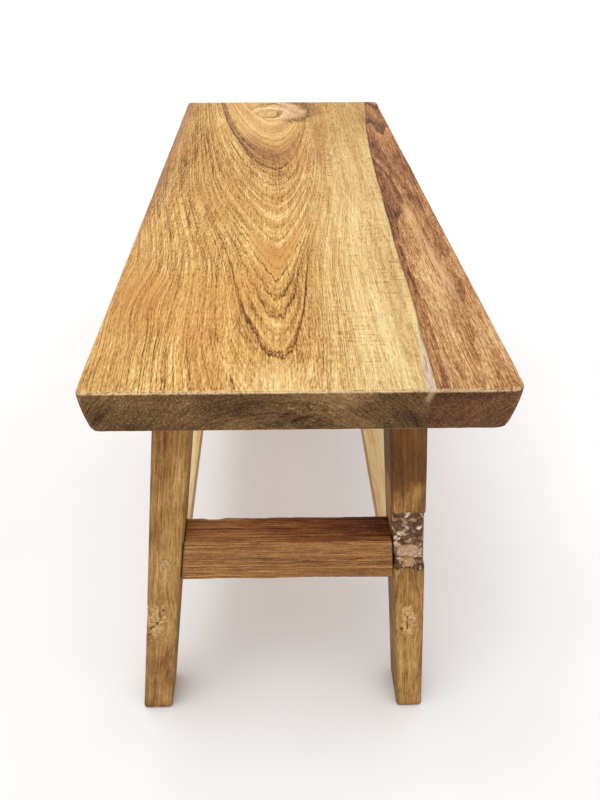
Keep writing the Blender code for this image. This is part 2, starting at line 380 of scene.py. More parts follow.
def growth_lines(paint, wood):
    """The growth lines on the seat's top. Each is numbered by the y of its tip on the pith line."""
    x, y, z = wood.place
    across = x - PITH_X
    on_right = paint.smooth(across, -.002, .002)
    bend = paint.pick(paint.smooth(y, -.28, .04), .007, .034)
    spread = (across * across + bend * bend) ** .5 - bend
    reach = spread * paint.pick(on_right, 4.2, 6.0) * paint.pick(paint.smooth(y, -.20, -.44), 1, .5)
    reach = reach + spread ** 3 * paint.pick(on_right, 350, 3600)
    wander = (paint.noise(x * 6, y * 2.2, z * 6, 2) - .5) * .050
    teeth = (paint.noise(x * 165, y * 9, z * 165, 3, .65) - .5) * .042
    below_arris = paint.math("MAXIMUM", wood.depth - SEAT_ARRIS, 0)
    plain_tip = y - reach - below_arris * 7 + wander
    swirl = paint.smooth(distance((x + .158) / .040, (y + .33) / .075), 1.2, .1)
    tip = plain_tip + teeth + swirl * .16
    wood.across = across
    wood.swirl = swirl
    # The lines have teeth. plain_tip has none, for what is soft, and guide has a few, for the fibres.
    wood.plain_tip = plain_tip
    wood.guide = plain_tip + teeth * .12 + swirl * .16

    count = tip / .034
    count = count + (paint.noise(count * .40, y * .5, 0, 1) - .5) * 2.6
    wood.strong = ring_lines(paint, count, 11, 2.0)
    wood.shaded = ring_lines(paint, count, 2.5, 1.5)
    wood.bands = paint.noise(count * .75, y * 1.4, x * 3, 2)
    fine_count = tip / .0115 + (paint.noise(tip * 60, y * .8, 0, 1) - .5) * 1.6
    wood.fine = ring_lines(paint, fine_count, 4, 1.0) * paint.pick(paint.smooth(y, -.20, .02), .14, .34)

    bold = 0
    for bold_tip in BOLD_TIPS:
        behind = paint.smooth(tip, bold_tip + .0075, bold_tip)
        bold = bold + behind * paint.smooth(tip, bold_tip - .0012, bold_tip)
    patchy = paint.smooth(paint.noise(x * 60, y * 9, z * 60, 2), .35, .60)
    wood.bold = bold * paint.smooth(abs(across), .062, .020) * paint.pick(patchy, 1, .55)

    # The eye is the calm warm wood inside the nearest V. The tongue runs into the knot.
    in_eye = paint.smooth(tip, -.286, -.278) * paint.smooth(tip, -.205, -.235)
    wood.in_eye = in_eye * paint.smooth(abs(across), .040, .020)
    in_tongue = paint.smooth(plain_tip + teeth * .5, .135, .175)
    wood.in_tongue = in_tongue * paint.smooth(across, .062, .040)


def knot_fields(paint, wood):
    """How far a place is from the knot's middle, 1 on its outer ring, and from its heart, 1 at the edge."""
    x, y, z = wood.place
    radius = distance(wood.across / KNOT_HALF[0], (y - KNOT_Y) / KNOT_HALF[1])
    wood.knot_radius = radius + (paint.noise(x * 30, y * 17, z * 20, 2) - .5) * .75 - wood.across * 4
    wood.in_knot = paint.smooth(wood.knot_radius, 1.12, .92)
    heart = distance((x + .024) / .028, (y - KNOT_Y + .022) / .038)
    wood.heart_of_knot = heart + (paint.noise(x * 55, y * 30, z * 20, 3) - .5) * 1.1


def board_grain(paint, wood):
    """Fibres along the board, and finer streaks and veins that follow the growth lines."""
    x, y, z = wood.place
    wood.fibres = paint.noise(x * 210, y * 8, z * 210, 5, .74)
    wood.hairs = paint.noise(x * 760, y * 34, z * 760, 2, .6)
    wood.specks = paint.noise(x * 760, y * 150, z * 760, 2, .75)
    wood.clouds = paint.noise(x * 12, y * 4, z * 12, 3)
    wood.pores = paint.smooth(paint.noise(x * 620, y * 46, z * 620, 1), .60, .70)
    wood.streaks = paint.noise(wood.guide * 36, y * 2.4, z * 60, 3, .70)
    broad_streaks = paint.noise(wood.guide * 13, y * 1.2, z * 30, 3, .60)
    grain = (wood.fibres - .5) * .75 + (wood.streaks - .5) * 1.15 + (broad_streaks - .5) * .40
    grain = grain + (wood.hairs - .5) * .90 + (wood.specks - .5) * 1.2
    busy = paint.noise(x * 16, y * 5, 11.0, 2) * 1.3 + .36
    wood.grain = grain * busy

    contours = paint.noise(wood.guide * 17, y * 1.6, z * 30, 2, .6)
    veined = paint.smooth(paint.noise(x * 50, y * 6, z * 50, 2), .36, .58)
    veined = veined * paint.smooth(abs(wood.across), .006, .022)
    dark_veins = paint.hump(contours, .46, .016) + paint.hump(contours, .57, .013) * .8
    light_veins = paint.hump(contours, .50, .016) + paint.hump(contours, .41, .018)
    wood.dark_veins = dark_veins * veined
    wood.light_veins = light_veins * veined


def golden_wood(paint, wood):
    """The golden board left of the middle: its colour, and its tone, which the relief uses too."""
    calm = paint.math("MAXIMUM", paint.math("MAXIMUM", wood.in_tongue, wood.in_knot), wood.in_eye)
    calm = 1 - calm * .50
    tone = .515 + wood.grain * calm + (wood.bands - .5) * .24 + (wood.clouds - .5) * .55
    tone = tone - wood.strong * .62 - wood.shaded * .14 - wood.fine - wood.bold * .62
    wood.tone = tone + (wood.light_veins * .20 - wood.dark_veins * .24) * calm
    return paint.ramp(
        wood.tone, (.0, 92, 52, 18), (.20, 146, 95, 42), (.42, 196, 144, 74), (.60, 220, 172, 98),
        (.92, 250, 220, 146))


def sapwood(paint, wood):
    """The calmer, paler board right of the middle, with short dashes across it and broad lanes along it."""
    x, y = wood.place[:2]
    tone = .55 + wood.grain * .90 + (wood.clouds - .5) * .5
    tone = tone - wood.strong * .45 - wood.shaded * .12 - wood.fine * .5 - wood.bold * .3
    tone = tone - wood.dark_veins * .16 + paint.smooth(y, -.28, -.44) * .08
    dashes = paint.smooth(paint.noise(x * 42, y * 330, 0, 2, .55), .55, .68)
    tone = tone - dashes * paint.smooth(paint.noise(x * 20, y * 9, 3.0, 1), .42, .58) * .34
    bent = (paint.noise(y * 5, x * 12, 0, 1) - .5) * 1.6
    lanes = paint.noise(x * 75 + bent, y * 1.4, 4.0, 2, .6)
    tone = tone + (lanes - .5) * 1.0
    return paint.ramp(tone, (.0, 150, 104, 52), (.3, 202, 154, 88), (.55, 232, 191, 124), (.9, 252, 228, 166))


def board_colour(paint, wood):
    """The golden board and the sapwood, with their stains, and painted shade along the left long edge."""
    x, y, z = wood.place
    edge_wave = (paint.noise(x * 9, y * 4, z * 9, 3) - .5) * .05
    in_sap = paint.smooth(x + edge_wave + (wood.streaks - .5) * .05, .000, .066)
    in_sap = in_sap * (paint.smooth(y + edge_wave, .30, .12) * .65 + .35)
    near_end = paint.smooth(y, -.425, -.465) * paint.smooth(x, -.08, -.02) * .6
    sap_share = paint.math("MAXIMUM", in_sap, near_end)
    colour = paint.blend(sap_share, golden_wood(paint, wood), sapwood(paint, wood))

    wood.hatch = paint.noise(x * 190, y * 55, 6.0, 3, .75)
    tan = paint.smooth(y, .05, .14) * paint.smooth(y, .40, .30) * paint.hump(x, .052, .042)
    tan = tan * paint.smooth(wood.hatch, .60, .42)
    left_edge_shade = paint.smooth(x, -.150, -.174) * paint.smooth(y, -.30, .10)
    warm = paint.smooth(paint.noise(x * 10, y * 4.5, 9.0, 2), .50, .64) * paint.smooth(x, .045, .005)
    colour = paint.blend(tan * .80, colour, srgb(184, 128, 70))
    colour = paint.blend(wood.in_eye * .50, colour, srgb(210, 152, 82))
    # Painted shade along the left long edge.
    colour = paint.blend(left_edge_shade * .78, colour, srgb(158, 112, 84))
    return paint.blend(warm * .30, colour, srgb(216, 144, 74))


def add_knot(paint, wood, colour):
    """The knot, the light tongue of wood that runs into it, and the brown cracked wood round it."""
    x, y, z = wood.place
    across, plain_tip = wood.across, wood.plain_tip
    tongue = paint.ramp(
        wood.tone, (.1, 168, 114, 56), (.4, 214, 164, 94), (.6, 230, 184, 116), (.9, 248, 220, 156))
    colour = paint.blend(wood.in_tongue * .8, colour, tongue)

    rings = (paint.noise(wood.heart_of_knot * 4.5, x * 20, y * 12, 3, .65) - .5) * 1.3
    rings = .56 + rings + (wood.hairs - .5) * .4
    rings = rings - paint.hump(wood.heart_of_knot, .62, .12) * .13
    rings = rings + paint.hump(wood.heart_of_knot, 1.0, .22) * .18
    dark_patches = paint.smooth(paint.noise(wood.knot_radius * 9, x * 30, 8.0, 2), .44, .60)
    rings = rings - paint.smooth(y, KNOT_Y + .004, KNOT_Y + .034) * dark_patches * .34
    knot_wood = paint.ramp(
        rings, (.2, 118, 72, 34), (.38, 180, 128, 68), (.52, 214, 168, 104), (.68, 236, 200, 142),
        (.9, 252, 234, 192))
    colour = paint.blend(wood.in_knot * .9, colour, knot_wood)
    colour = paint.blend(wood.in_knot * paint.smooth(across, .004, .030) * .45, colour, srgb(228, 184, 146))

    rim = paint.hump(wood.knot_radius, 1.22, .42) * paint.smooth(across, -.002, .032)
    rim = rim * paint.smooth(wood.hatch, .74, .44)
    crackle = paint.smooth(paint.noise(x * 200, y * 45, z * 130, 3, .75), .42, .56)
    under = paint.hump(plain_tip, .125, .075) * paint.hump(across, -.004, .064)
    on_left = paint.smooth(across, -.020, -.038) * paint.smooth(y, .09, .16)
    stained = paint.hump(plain_tip, .095, .050) * on_left
    torn = paint.noise(wood.guide * 70, x * 240, y * 50, 3, .75)
    crack = (paint.hump(plain_tip, .078, .016) + paint.hump(plain_tip, .112, .014)) * on_left
    crack = crack * paint.smooth(torn, .44, .54)
    colour = paint.blend(rim * .95, colour, srgb(124, 74, 36))
    colour = paint.blend(under * (1 - crackle * .60), colour, srgb(144, 90, 52))
    colour = paint.blend(stained * (1 - crackle * .5) * .85, colour, srgb(156, 104, 68))
    return paint.blend(crack, colour, srgb(84, 46, 24))


def add_heartwood(paint, wood, colour):
    """The reddish strip of heartwood on the right, and the whitish sliver beside its near end."""
    x, y, z = wood.place
    far = paint.math("MAXIMUM", y, 0)
    boundary = .1185 + y * .03 + far * far * .09 - wood.depth * .12
    past = x - boundary + (paint.noise(x * 40, y * 9, z * 60, 2) - .5) * .0045
    wood.past = past
    wood.in_heart = paint.smooth(past, -.0007, .0007)
    wood.heart_radius = distance(x - BAND_PITH[0], z - BAND_PITH[1])
    flame = paint.smooth(y, .05, .40) * (x - .10) * 14
    field = wood.heart_radius * 44 + y + flame * flame
    field = field + (paint.noise(x * 17, y * 2.6, z * 15, 2) - .5) * 4.4
    bands = paint.noise(field * .60, y * 1.7, 7.0, 3, .65)
    tone = .50 + (wood.fibres - .5) * 1.1 + (wood.hairs - .5) * 1.3 + (wood.specks - .5) * 1.3
    tone = tone + (bands - .5) * 1.9 - ring_lines(paint, field, 3, 1.2) * .42
    tone = tone - paint.smooth(past, .034, .004) * paint.smooth(abs(y - .06), .40, .10) * .21
    tone = tone + paint.smooth(y, -.1, -.42) * .05 + paint.smooth(y, .20, .42) * .04
    heart = paint.ramp(
        tone, (.0, 76, 38, 20), (.22, 130, 76, 44), (.45, 174, 116, 66), (.66, 206, 148, 90),
        (.95, 242, 200, 142))
    plum = paint.smooth(bands, .52, .36) * paint.smooth(past, .06, .0)
    heart = paint.blend(plum * .42, heart, srgb(126, 72, 48))
    peach = paint.hump(past + (y + .08) * .075, .0235, .008) * paint.smooth(y, -.05, -.10)
    peach = peach * paint.smooth(y, -.35, -.28) * paint.smooth(wood.fibres + wood.hairs * .4, .52, .70)
    heart = paint.blend(peach * .75, heart, srgb(236, 190, 138))
    colour = paint.blend(wood.in_heart, colour, heart)

    sliver_width = paint.math("MAXIMUM", (-.352 - y) * .075, 0)
    in_sliver = paint.smooth(past, 0, -.0008) * paint.smooth(past + sliver_width, -.0002, .0008)
    sliver = paint.ramp(
        wood.streaks + wood.hairs - .5, (.3, 160, 128, 94), (.45, 216, 190, 158), (.7, 244, 226, 200))
    colour = paint.blend(in_sliver, colour, sliver)
    return paint.blend(paint.hump(past, .0006, .0022) * .55, colour, srgb(120, 78, 50), "MULTIPLY")


def end_grain(paint, wood):
    """End grain, with fine arcs and dark mottle, much darker than the face, partly as end grain is and partly
    as painted shade: its tone and its colour.
    """
    x, y, z = wood.place
    arc = distance(x - END_PITH[0], z - END_PITH[1]) + (paint.noise(x * 25, z * 25, y * 3, 2) - .5) * .012
    heart_arc = wood.heart_radius + (paint.noise(x * 30, z * 30, 2.0, 2) - .5) * .006
    arc = paint.pick(wood.in_heart, arc, heart_arc)
    lines = ring_lines(paint, arc / .0038 + (paint.noise(arc * 160, 0, 0, 1) - .5) * 2, 2.5, 1.5)
    fine_arcs = paint.noise(arc * 800, x * 16, z * 16, 3, .65)
    wood.end_specks = paint.noise(x * 460, z * 460, y * 40, 3, .65)
    dust = paint.noise(x * 900, z * 900, y * 40, 2, .7)
    clouds = paint.noise(x * 20, z * 34, y * 3, 3)
    mottle = paint.smooth(paint.noise(x * 120, z * 150, 5.0, 3, .65), .50, .62)
    mottle = mottle * paint.hump(x, .0, .055) * paint.hump(wood.depth, .024, .022)
    tone = .49 + paint.smooth(x, -.12, .0) * .08 + (fine_arcs - .5) * .8 + (wood.end_specks - .5) * .9
    tone = tone + (clouds - .5) * 1.1 + (dust - .5) * 1.0 + paint.hump(arc, .096, .0035) * .10
    tone = tone - lines * .22 - mottle * .34
    plain = paint.ramp(
        tone, (.05, 34, 21, 10), (.35, 82, 58, 31), (.55, 108, 79, 45), (.75, 136, 104, 64),
        (.95, 172, 138, 94))
    plain = paint.blend(mottle * .45, plain, srgb(64, 40, 16))
    heart = paint.ramp(
        tone, (.05, 40, 22, 12), (.35, 82, 52, 30), (.55, 106, 70, 42), (.8, 140, 98, 62))
    colour = paint.blend(wood.in_heart, plain, heart)
    notch = paint.hump(wood.past, -.004, .0045) * paint.smooth(wood.depth, .016, .006)
    return tone, paint.blend(notch * .75, colour, srgb(178, 152, 116))


def seat_boards():
    """The seat's timber: cathedral figure, knot, pale sapwood, heartwood strip and darker end grain, with
    painted shade on the end face, long sides, underside, left edge and crack.
    """
    paint = Paint("seat_boards")
    wood = SimpleNamespace(place=paint.place())
    wood.depth = SEAT_TOP - wood.place[2]
    growth_lines(paint, wood)
    knot_fields(paint, wood)
    board_grain(paint, wood)
    colour = board_colour(paint, wood)
    colour = add_knot(paint, wood, colour)
    orange = wood.swirl * paint.smooth(wood.clouds + wood.streaks * .4, .55, .80)
    colour = paint.blend(orange * .5, colour, srgb(206, 142, 74))
    colour = add_heartwood(paint, wood, colour)
    colour = paint.blend(wood.pores * .34, colour, srgb(96, 58, 28))

    facing = paint.facing()
    on_end = paint.smooth(abs(facing[1]), .60, .90)
    end_tone, end_colour = end_grain(paint, wood)
    colour = paint.blend(on_end, colour, end_colour)

    # Painted shade: long sides and underside are painted a little darker and plainer than the top.
    turned_shade = paint.smooth(facing[2], .75, .25) * (1 - on_end)
    colour = paint.blend(turned_shade * .55, colour, srgb(196, 150, 104), "MULTIPLY")
    worn = paint.mark("worn") * paint.smooth(wood.end_specks, .32, .54)
    colour = paint.blend(worn * .82, colour, srgb(230, 196, 152))
    # Painted shade in the crack beside the knot.
    colour = paint.blend(paint.mark("gap_shade"), colour, srgb(70, 42, 22))

    height = wood.tone * .5 + wood.hairs * .25 - wood.pores * .35 - wood.strong * .4
    height = paint.pick(on_end, height, end_tone * .6 + .08)
    roughness = .62 - (wood.tone - .5) * .15 + on_end * .18
    return paint.finish(colour, roughness, height, .0006)


def leg_timber(name, leg, palette):
    """Straight-grained leg timber, whose lines follow the leg's lean and part round its knots."""
    paint = Paint(name)
    x, y, z = paint.place()
    seed = leg.seed
    across = x - leg.centre(z)
    flow = across
    for knot in leg.knots:
        near = paint.hump(z, knot["z"], knot["half"][1] * 2)
        flow = flow + (across - knot["x"]) * near * -.35
    bow = (paint.noise(z * 4.0, seed, 0, 2) - .5) * .012
    grain = flow + y * .35 + bow
    bands = paint.noise(grain * 110 + seed, y * 20, z * 2.0, 3, .6)
    fibres = paint.noise(flow * 300 + seed, y * 300, z * 10, 5, .72)
    hairs = paint.noise(flow * 900, y * 900 + seed, z * 44, 2, .6)
    clouds = paint.noise(across * 36 + seed, y * 36, z * 14, 3, .6)
    specks = paint.noise(x * 620, y * 620, z * 260 + seed, 2, .6)
    lines = ring_lines(paint, grain * 150 + (paint.noise(z * 6, grain * 90, seed, 1) - .5) * 2, 4, 1.5)
    dashes = paint.smooth(paint.noise(flow * 520, y * 520 + seed, z * 42, 1), .61, .70)
    gap_shade, pale, burl = paint.mark("gap_shade"), paint.mark("pale"), paint.mark("burl")
    threads = paint.noise(flow * 620 + seed, y * 620, z * 22, 2, .6)
    tone = .50 + (bands - .5) * .45 + (fibres - .5) * .65 + (hairs - .5) * .70 + (threads - .5) * .50
    tone = tone + (clouds - .5) * .95 + (specks - .5) * .40 - lines * .14
    if leg.dark_above:
        wave = z + (paint.noise(across * 60, y * 30, z * 26 + seed, 3, .6) - .5) * .07
        shade = paint.smooth(wave, leg.dark_above - .012, leg.dark_above + .016)
        tone = .5 + (tone - .5) * (1 - shade * .40)
    colour = paint.ramp(tone, *palette)
    colour = paint.blend(dashes * .32, colour, srgb(78, 50, 24))
    scrapes = paint.smooth(paint.noise(across * 150 + seed, y * 40, z * 46, 3, .7), .58, .72)
    colour = paint.blend(scrapes * .35, colour, srgb(206, 166, 112))
    if leg.dark_above:
        colour = paint.blend(shade * .85, colour, srgb(158, 126, 84), "MULTIPLY")
        amber = paint.hump(wave, leg.dark_above - .008, .026) * paint.smooth(clouds + fibres * .5, .70, .84)
        colour = paint.blend(amber * .70, colour, srgb(190, 134, 62))
    # Painted shade on the side faces, which look along X.
    sides = paint.smooth(abs(paint.facing()[0]), .45, .9)
    colour = paint.blend(sides * .50, colour, srgb(160, 134, 110), "MULTIPLY")
    chips = paint.noise(x * 330, y * 330, z * 240 + seed, 3, .65)
    chip_wood = paint.ramp(
        chips + (pale - .5) * .3, (.25, 88, 56, 26), (.46, 166, 122, 70), (.72, 226, 188, 130))
    colour = paint.blend(paint.smooth(pale, .05, .6) * .80, colour, chip_wood)
    burl_wood = paint.ramp(
        chips * .60 + burl * .68 - .06, (.25, 60, 38, 25), (.46, 96, 66, 45), (.62, 130, 96, 70),
        (.78, 178, 142, 112), (.97, 236, 210, 176))
    colour = paint.blend(paint.smooth(burl, .02, .12), colour, burl_wood)
    # Painted shade in the knots' splits and the burl's crevices.
    colour = paint.blend(gap_shade, colour, srgb(60, 38, 22))
    foot = paint.smooth(z + (clouds - .5) * .02, .012, .0) * .5
    colour = paint.blend(foot, colour, srgb(150, 120, 88), "MULTIPLY")
    rough_patches = pale + paint.smooth(burl, .04, .2)
    height = tone * .6 + hairs * .3 - dashes * .3 + chips * rough_patches * .8
    roughness = .66 - (tone - .5) * .15
    return paint.finish(colour, roughness, height, .0005)


def cross_timber(name, palette, shaded_top_palette, seed):
    """A stretcher's timber, with its grain along X, and painted shade: a darker top face, darkest towards its
    right end, and a darker underside.
    """
    paint = Paint(name)
    x, y, z = paint.place()
    bow = (paint.noise(x * 5, seed, 0, 2) - .5) * .004
    grain = z + bow + y * .1
    bands = paint.noise(x * 1.2, y * 60 + seed, grain * 150, 3, .6)
    fibres = paint.noise(x * 3.5, y * 420 + seed, grain * 420, 4, .68)
    hairs = paint.noise(x * 45, y * 1300, z * 1300 + seed, 2, .5)
    clouds = paint.noise(x * 14 + seed, y * 30, z * 34, 3)
    lines = ring_lines(paint, grain * 190 + (paint.noise(x * 8, grain * 80, seed, 1) - .5) * 2.4, 4, 1.4)
    dashes = paint.smooth(paint.noise(x * 40, y * 600 + seed, z * 600, 1), .60, .68)
    flecks = paint.smooth(paint.noise(x * 90 + seed, y * 700, z * 520, 2), .60, .72)
    threads = paint.noise(x * 5, y * 760, grain * 760 + seed, 2, .6)
    specks = paint.noise(x * 420, y * 800, z * 800 + seed, 2, .7)
    tone = .50 + (bands - .5) * .34 + (fibres - .5) * .75 + (hairs - .5) * .80 + (threads - .5) * 1.1
    tone = tone + (clouds - .5) * .40 + (specks - .5) * .6 - lines * .24
    upward = paint.facing()[2]
    on_top = paint.smooth(upward, .5, .8)
    # Painted shade: the top face, under the seat, is darker, and darkest towards the right end.
    shaded_top_tone = tone + .08 - x * 3.2 + (paint.noise(x * 11, y * 34, seed, 2) - .5) * .8
    colour = paint.blend(on_top, paint.ramp(tone, *palette), paint.ramp(shaded_top_tone, *shaded_top_palette))
    colour = paint.blend(dashes * .40, colour, srgb(70, 40, 22))
    colour = paint.blend(flecks * .40, colour, srgb(196, 144, 80))
    # Painted shade on the underside.
    colour = paint.blend(paint.smooth(upward, -.4, -.9) * .4, colour, srgb(150, 120, 100), "MULTIPLY")
    colour = paint.blend(paint.mark("pale"), colour, srgb(206, 152, 124))
    # Painted shade in the joints with the legs.
    colour = paint.blend(paint.mark("gap_shade"), colour, srgb(44, 26, 15))
    height = tone * .7 + hairs * .3 - dashes * .4
    return paint.finish(colour, .60 - (tone - .5) * .2, height, .0005)


def rail_timber():
    """The side rails' pale timber, with its grain along Y, painted paler still as painted light on their
    tops, and with painted shade on their sides.
    """
    paint = Paint("rail_timber")
    x, y, z = paint.place()
    bands = paint.noise(x * 130, y * 2.2, z * 130, 3, .6)
    fibres = paint.noise(x * 460, y * 9, z * 460, 4, .62)
    hairs = paint.noise(x * 1200, y * 40, z * 1200, 2, .5)
    clouds = paint.noise(x * 30, y * 6, z * 30, 3)
    tone = .50 + (bands - .5) * 1.1 + (fibres - .5) * 1.0 + (hairs - .5) * .8 + (clouds - .5) * .6
    # Painted light: the palette is paler than the timber, standing in for light on the rails' tops.
    colour = paint.ramp(
        tone, (.05, 196, 144, 84), (.32, 240, 204, 142), (.5, 254, 231, 175), (.85, 255, 245, 208))
    # Painted shade on the rails' sides and undersides.
    sides = paint.smooth(paint.facing()[2], .6, .1)
    colour = paint.blend(sides * .85, colour, srgb(166, 122, 84), "MULTIPLY")
    # Painted shade at the joints with the legs.
    colour = paint.blend(paint.mark("gap_shade"), colour, srgb(60, 38, 22))
    return paint.finish(colour, .62 - (tone - .5) * .15, tone * .6 + hairs * .3, .0004)


def peg_timber():
    """End grain of the pegs: close rings and open pores."""
    paint = Paint("peg_timber")
    x, y, z = paint.place()
    rings = paint.noise(x * 260, y * 260, z * 420, 3, .6)
    pores = paint.smooth(paint.noise(x * 1400, y * 1400, z * 1400, 1), .58, .70)
    scratches = paint.noise(x * 900, y * 200, z * 160, 3, .6)
    tone = .5 + (rings - .5) * .9 + (scratches - .5) * .6
    colour = paint.ramp(tone, (.1, 118, 82, 48), (.4, 170, 130, 84), (.6, 200, 164, 114), (.9, 226, 196, 150))
    colour = paint.blend(pores * .6, colour, srgb(84, 56, 32))
    return paint.finish(colour, .72 + pores * .15, tone - pores * .5, .0005)


# ---------------------------------------------------------------------------------------------------------
# Seat


def seat_piece(material):
    """The slab, whose long sides lean in below the top, with worn edges and a crack beside the knot."""
    half_x, half_y = SEAT_HIGH.x, SEAT_HIGH.y
    pull_in = half_x - section("seat_slab", 2, UNDERSIDE + SEAT_LOW_CUT)[1][0]
    xs = edge_graded(-half_x, half_x, *SEAT_STEPS)
    ys = edge_graded(-half_y, half_y, *SEAT_STEPS)
    zs = edge_graded(UNDERSIDE, SEAT_TOP, *SEAT_DEPTH_STEPS)
    flat, faces = box_grid(xs, ys, zs)
    low, high = (-half_x, -half_y, UNDERSIDE), (half_x, half_y, SEAT_TOP)
    points = ease(flat, low, high, SEAT_ARRIS, (0, 1, 2))
    for (side_x, side_y), radius in SEAT_CORNERS.items():
        here = (points[:, 0] * side_x > 0) & (points[:, 1] * side_y > 0)
        points[here] = ease(points[here], low[:2], high[:2], radius, (0, 1))
    full = SEAT_TOP - SEAT_LEAN_DEPTH
    below = np.clip((full - points[:, 2]) / (full - UNDERSIDE), 0, 1) ** 1.5
    points[:, 0] *= 1 - pull_in * below / half_x

    edge = corner_share(flat, low, high, SEAT_ARRIS, (0, 1, 2))
    top_edge = edge * smooth(flat[:, 2], SEAT_TOP - .006, SEAT_TOP - .003)
    on_side = smooth(np.abs(flat[:, 0]), half_x - .004, half_x)
    on_end = smooth(np.abs(flat[:, 1]), half_y - .006, half_y)
    outward = normals(points, faces)
    chips = ripple(flat, (90, 90, 60), 1)
    waves = ripple(flat, (9, 7, 18), 2)
    sink = .00010 * (1 + waves)
    sink += top_edge * (.0004 + .0010 * np.clip(chips, 0, 1))
    sink += on_side * .0003 * (1 + waves)
    sink += on_end * .00035 * (1 + ripple(flat, (60, 20, 160), 3))
    x, y = flat[:, 0], flat[:, 1]
    crack_x = CRACK_AT[0] + CRACK_SLOPE * (y - CRACK_AT[1]) - .003 * ripple(flat, (0, 30, 0), 4)
    crack = smooth(np.abs(x - crack_x), .004, 0) * smooth(y, .16, .24)
    crack *= smooth(flat[:, 2], SEAT_TOP - .002, SEAT_TOP) * smooth(ripple(flat, (120, 40, 0), 5), .0, .45)
    sink += crack * .0008
    points = points - outward * sink[:, None]
    worn = smooth(top_edge, .02, .60) * (.30 + .70 * smooth(on_end, .1, .6))
    worn *= smooth(ripple(flat, (110, 90, 30), 6), -.95, .15)
    # The crack is painted darker through this mark: painted shade.
    marks = {"worn": worn, "gap_shade": crack * .5}
    return make_piece("seat", points, faces, marks, material, "seat_wood", "seat_slab")


# ---------------------------------------------------------------------------------------------------------
# Legs


class Leg:
    """A leg's centre line, width and faces, read from its CAD node, with its knots in the leg's own X."""

    LOW_CUT, HIGH_CUT = .020, .390

    def __init__(self, node, seed, knots=(), burl=None, dark_above=None):
        self.node = node
        self.seed = seed
        self.knots = knots
        self.burl = burl
        self.dark_above = dark_above        # the height over which the wood is dark brown
        low, high = section(node, 2, self.LOW_CUT), section(node, 2, self.HIGH_CUT)
        rise = self.HIGH_CUT - self.LOW_CUT
        self.lean = ((high[0][0] + high[1][0]) - (low[0][0] + low[1][0])) / 2 / rise
        self.at_floor = (low[0][0] + low[1][0]) / 2 - self.lean * self.LOW_CUT
        self.taper = ((high[1][0] - high[0][0]) - (low[1][0] - low[0][0])) / rise
        self.foot_width = low[1][0] - low[0][0] - self.taper * self.LOW_CUT
        self.face = (low[0][1], low[1][1])
        self.outer = -1 if low[0][1] < 0 else 1     # the Y side that looks away from the bench's middle

    def centre(self, z):
        return z * self.lean + self.at_floor

    def width(self, z):
        return z * self.taper + self.foot_width


def knot_shape(local, knot, front, seed):
    """How deep a knot's crumbled wood lies, how pale it is and where it is split; the split gets painted
    shade.
    """
    warp = ripple(local, (140, 0, 60), seed + 20)
    along = (local[:, 2] - knot["z"]) / knot["half"][1]
    across = (local[:, 0] - knot["x"]) / knot["half"][0] + .35 * warp
    inside = smooth(np.hypot(along, across), 1.15, .55) * front
    crumbs = ripple(local, (420, 0, 260), seed + 21, 4)
    middle = .35 * np.sin(along * 4.2) + .6 * ripple(local, (90, 0, 120), seed + 22)
    split = smooth(np.abs(across - middle), .22, .04) * smooth(np.abs(along), .85, .45) * front
    split *= smooth(ripple(local, (300, 0, 170), seed + 23), -.25, .30)
    depth = inside * (.0003 + .0007 * np.clip(crumbs + .4, 0, 1.4)) + split * .0018
    return depth, inside * (1 - split) * (.55 + .45 * np.clip(crumbs + .5, 0, 1)), split


def burl_shape(local, burl, front, seed):
    """Chips and gaps of a burl: the depth, a value for each chip's colour, and the gaps between the chips,
    which get painted shade.
    """
    low_z, high_z = burl
    wave = .006 * ripple(local, (90, 0, 70), seed + 30)
    z = local[:, 2] + wave
    inside = smooth(z, low_z - .003, low_z + .006) * smooth(z, high_z + .003, high_z - .008) * front
    depth, shade, gap_shade = np.zeros(len(local)), np.zeros(len(local)), np.zeros(len(local))
    for n in np.flatnonzero(inside > 0):
        place = Vector(local[n] * 90)
        bent_x = noise.noise(place) * .55
        bent_z = noise.noise(place + Vector((31, 17, 9))) * .55
        spot = Vector((local[n][0] * 185 + bent_x, local[n][1] * 120, local[n][2] * 215 + bent_z))
        (first, second, *_), (cell, *_) = noise.voronoi(spot + Vector((seed, 0, seed)))
        lift = .5 + .5 * noise.cell(cell * 3.7)
        tilt = (spot.x + seed - cell.x) * noise.cell(cell * 5.3 + Vector((9, 9, 9)))
        between = 1 - min(max((second - first) / .22, 0), 1)
        depth[n] = .0010 + .0012 * (1 - lift) + .0006 * tilt + .0016 * between ** 2
        shade[n] = .30 + .70 * lift ** 1.6
        gap_shade[n] = between ** 2
    plate = smooth(np.hypot(local[:, 0] / .0120, (local[:, 2] - low_z - .022) / .0105) + wave * 60, 1.0, .82)
    depth = depth * (1 - plate) + .0012 * plate
    shade = shade * (1 - plate) + .80 * plate
    gap_shade = np.maximum(gap_shade * (1 - plate), .7 * plate * (1 - plate) * 4)
    return depth * inside, shade * smooth(inside, .1, .5), gap_shade * smooth(inside, .3, .8)


